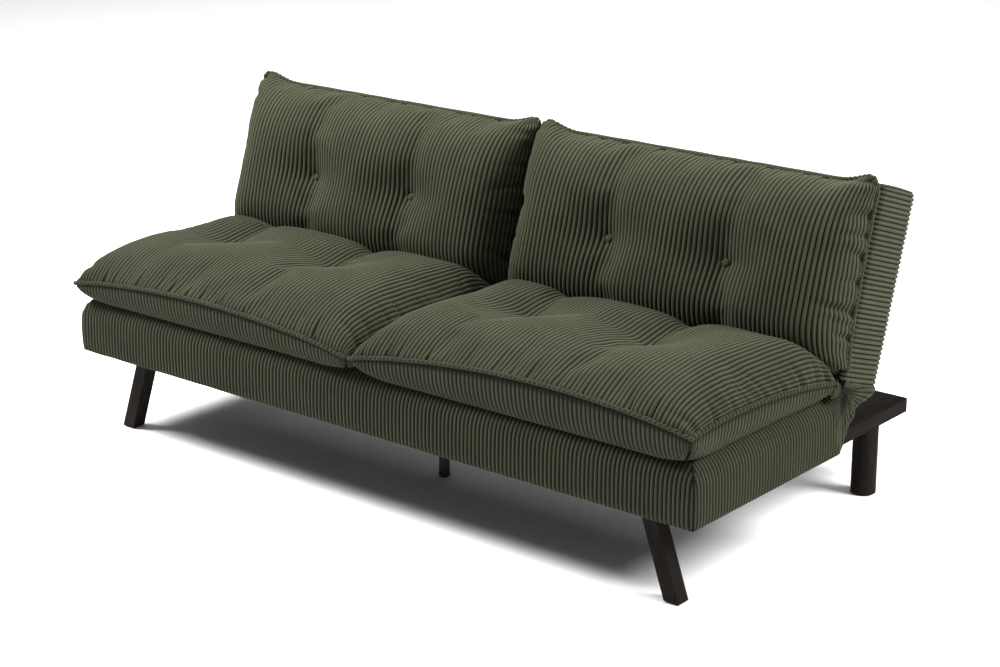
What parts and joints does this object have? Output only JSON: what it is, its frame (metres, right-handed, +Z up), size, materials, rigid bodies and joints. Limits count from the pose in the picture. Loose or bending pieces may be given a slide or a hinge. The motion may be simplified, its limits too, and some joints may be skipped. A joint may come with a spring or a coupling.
{
  "type": "futon sofa bed",
  "caption": "Armless click-clack sofa bed with a ribbed corduroy base, plump tufted seat and back cushions, splayed front legs and a reclining back.",
  "frame": {"origin": "on the floor, under the middle of the overall box", "axes": "+X along the sofa, +Y towards the back, +Z up"},
  "size_m": [1.8, 0.975, 0.7841],
  "materials": {
    "corduroy": "wide-wale corduroy, dark olive green",
    "foam": "open-cell upholstery foam",
    "lining": "black non-woven lining",
    "espresso_wood": "espresso stain, satin lacquer",
    "raw_timber": "unfinished softwood and plywood",
    "black_steel": "satin black powder coat",
    "hinge_steel": "black pressed steel",
    "zinc_steel": "zinc-plated steel",
    "black_plastic": "moulded black plastic"
  },
  "bodies": {
    "base": {"arm_blocks": "raw_timber", "arm_bolts": "zinc_steel", "centre_leg": "black_steel", "centre_leg_foot": "black_plastic", "foot_glides": "black_plastic", "front_leg_blocks": "raw_timber", "hinge_screws_seat": "zinc_steel", "left_arm": "espresso_wood", "left_front_leg": "espresso_wood", "left_hinge_fixed_plate": "hinge_steel", "left_hinge_gusset": "corduroy", "left_hinge_pin": "zinc_steel", "left_rear_leg": "espresso_wood", "left_seat_cushion": "corduroy", "leg_hanger_bolts": "zinc_steel", "leg_plates": "zinc_steel", "pawl_pins": "zinc_steel", "pawl_springs": "zinc_steel", "plate_screws": "zinc_steel", "rear_rail": "espresso_wood", "rear_rail_braces": "zinc_steel", "right_arm": "espresso_wood", "right_front_leg": "espresso_wood", "right_hinge_fixed_plate": "hinge_steel", "right_hinge_gusset": "corduroy", "right_hinge_pin": "zinc_steel", "right_rear_leg": "espresso_wood", "right_seat_cushion": "corduroy", "seat_centre_rail": "raw_timber", "seat_cover": "corduroy", "seat_dust_cover": "lining", "seat_foam": "foam", "seat_front_rail": "raw_timber", "seat_left_rail": "raw_timber", "seat_rear_rail": "raw_timber", "seat_right_rail": "raw_timber", "seat_slats": "raw_timber"},
    "backrest": {"back_bottom_rail": "raw_timber", "back_buttons": "corduroy", "back_centre_stile": "raw_timber", "back_cover": "corduroy", "back_end_lining": "lining", "back_foam": "foam", "back_left_stile": "raw_timber", "back_right_stile": "raw_timber", "back_slats": "raw_timber", "back_top_rail": "raw_timber", "hinge_screws_back": "zinc_steel", "left_back_cushion": "corduroy", "left_hinge_moving_plate": "hinge_steel", "right_back_cushion": "corduroy", "right_hinge_moving_plate": "hinge_steel"},
    "left_latch": {"left_pawl": "zinc_steel"},
    "right_latch": {"right_pawl": "zinc_steel"}
  },
  "joints": [
    {"name": "back_recline", "type": "hinge", "parent": "base", "child": "backrest", "pos_m": [0, 0.0925, 0.328], "axis": [-1, 0, 0], "range_deg": [-10, 72], "deforming": ["left_hinge_gusset", "right_hinge_gusset"]},
    {"name": "left_latch_lift", "type": "hinge", "parent": "base", "child": "left_latch", "pos_m": [-0.8565, 0.0665, 0.312], "axis": [-1, 0, 0], "range_deg": [0, 12], "stiffness_Nm_per_rad": 0.2, "springref_deg": -5.73},
    {"name": "right_latch_lift", "type": "hinge", "parent": "base", "child": "right_latch", "pos_m": [0.8565, 0.0665, 0.312], "axis": [-1, 0, 0], "range_deg": [0, 12], "stiffness_Nm_per_rad": 0.2, "springref_deg": -5.73}
  ]
}
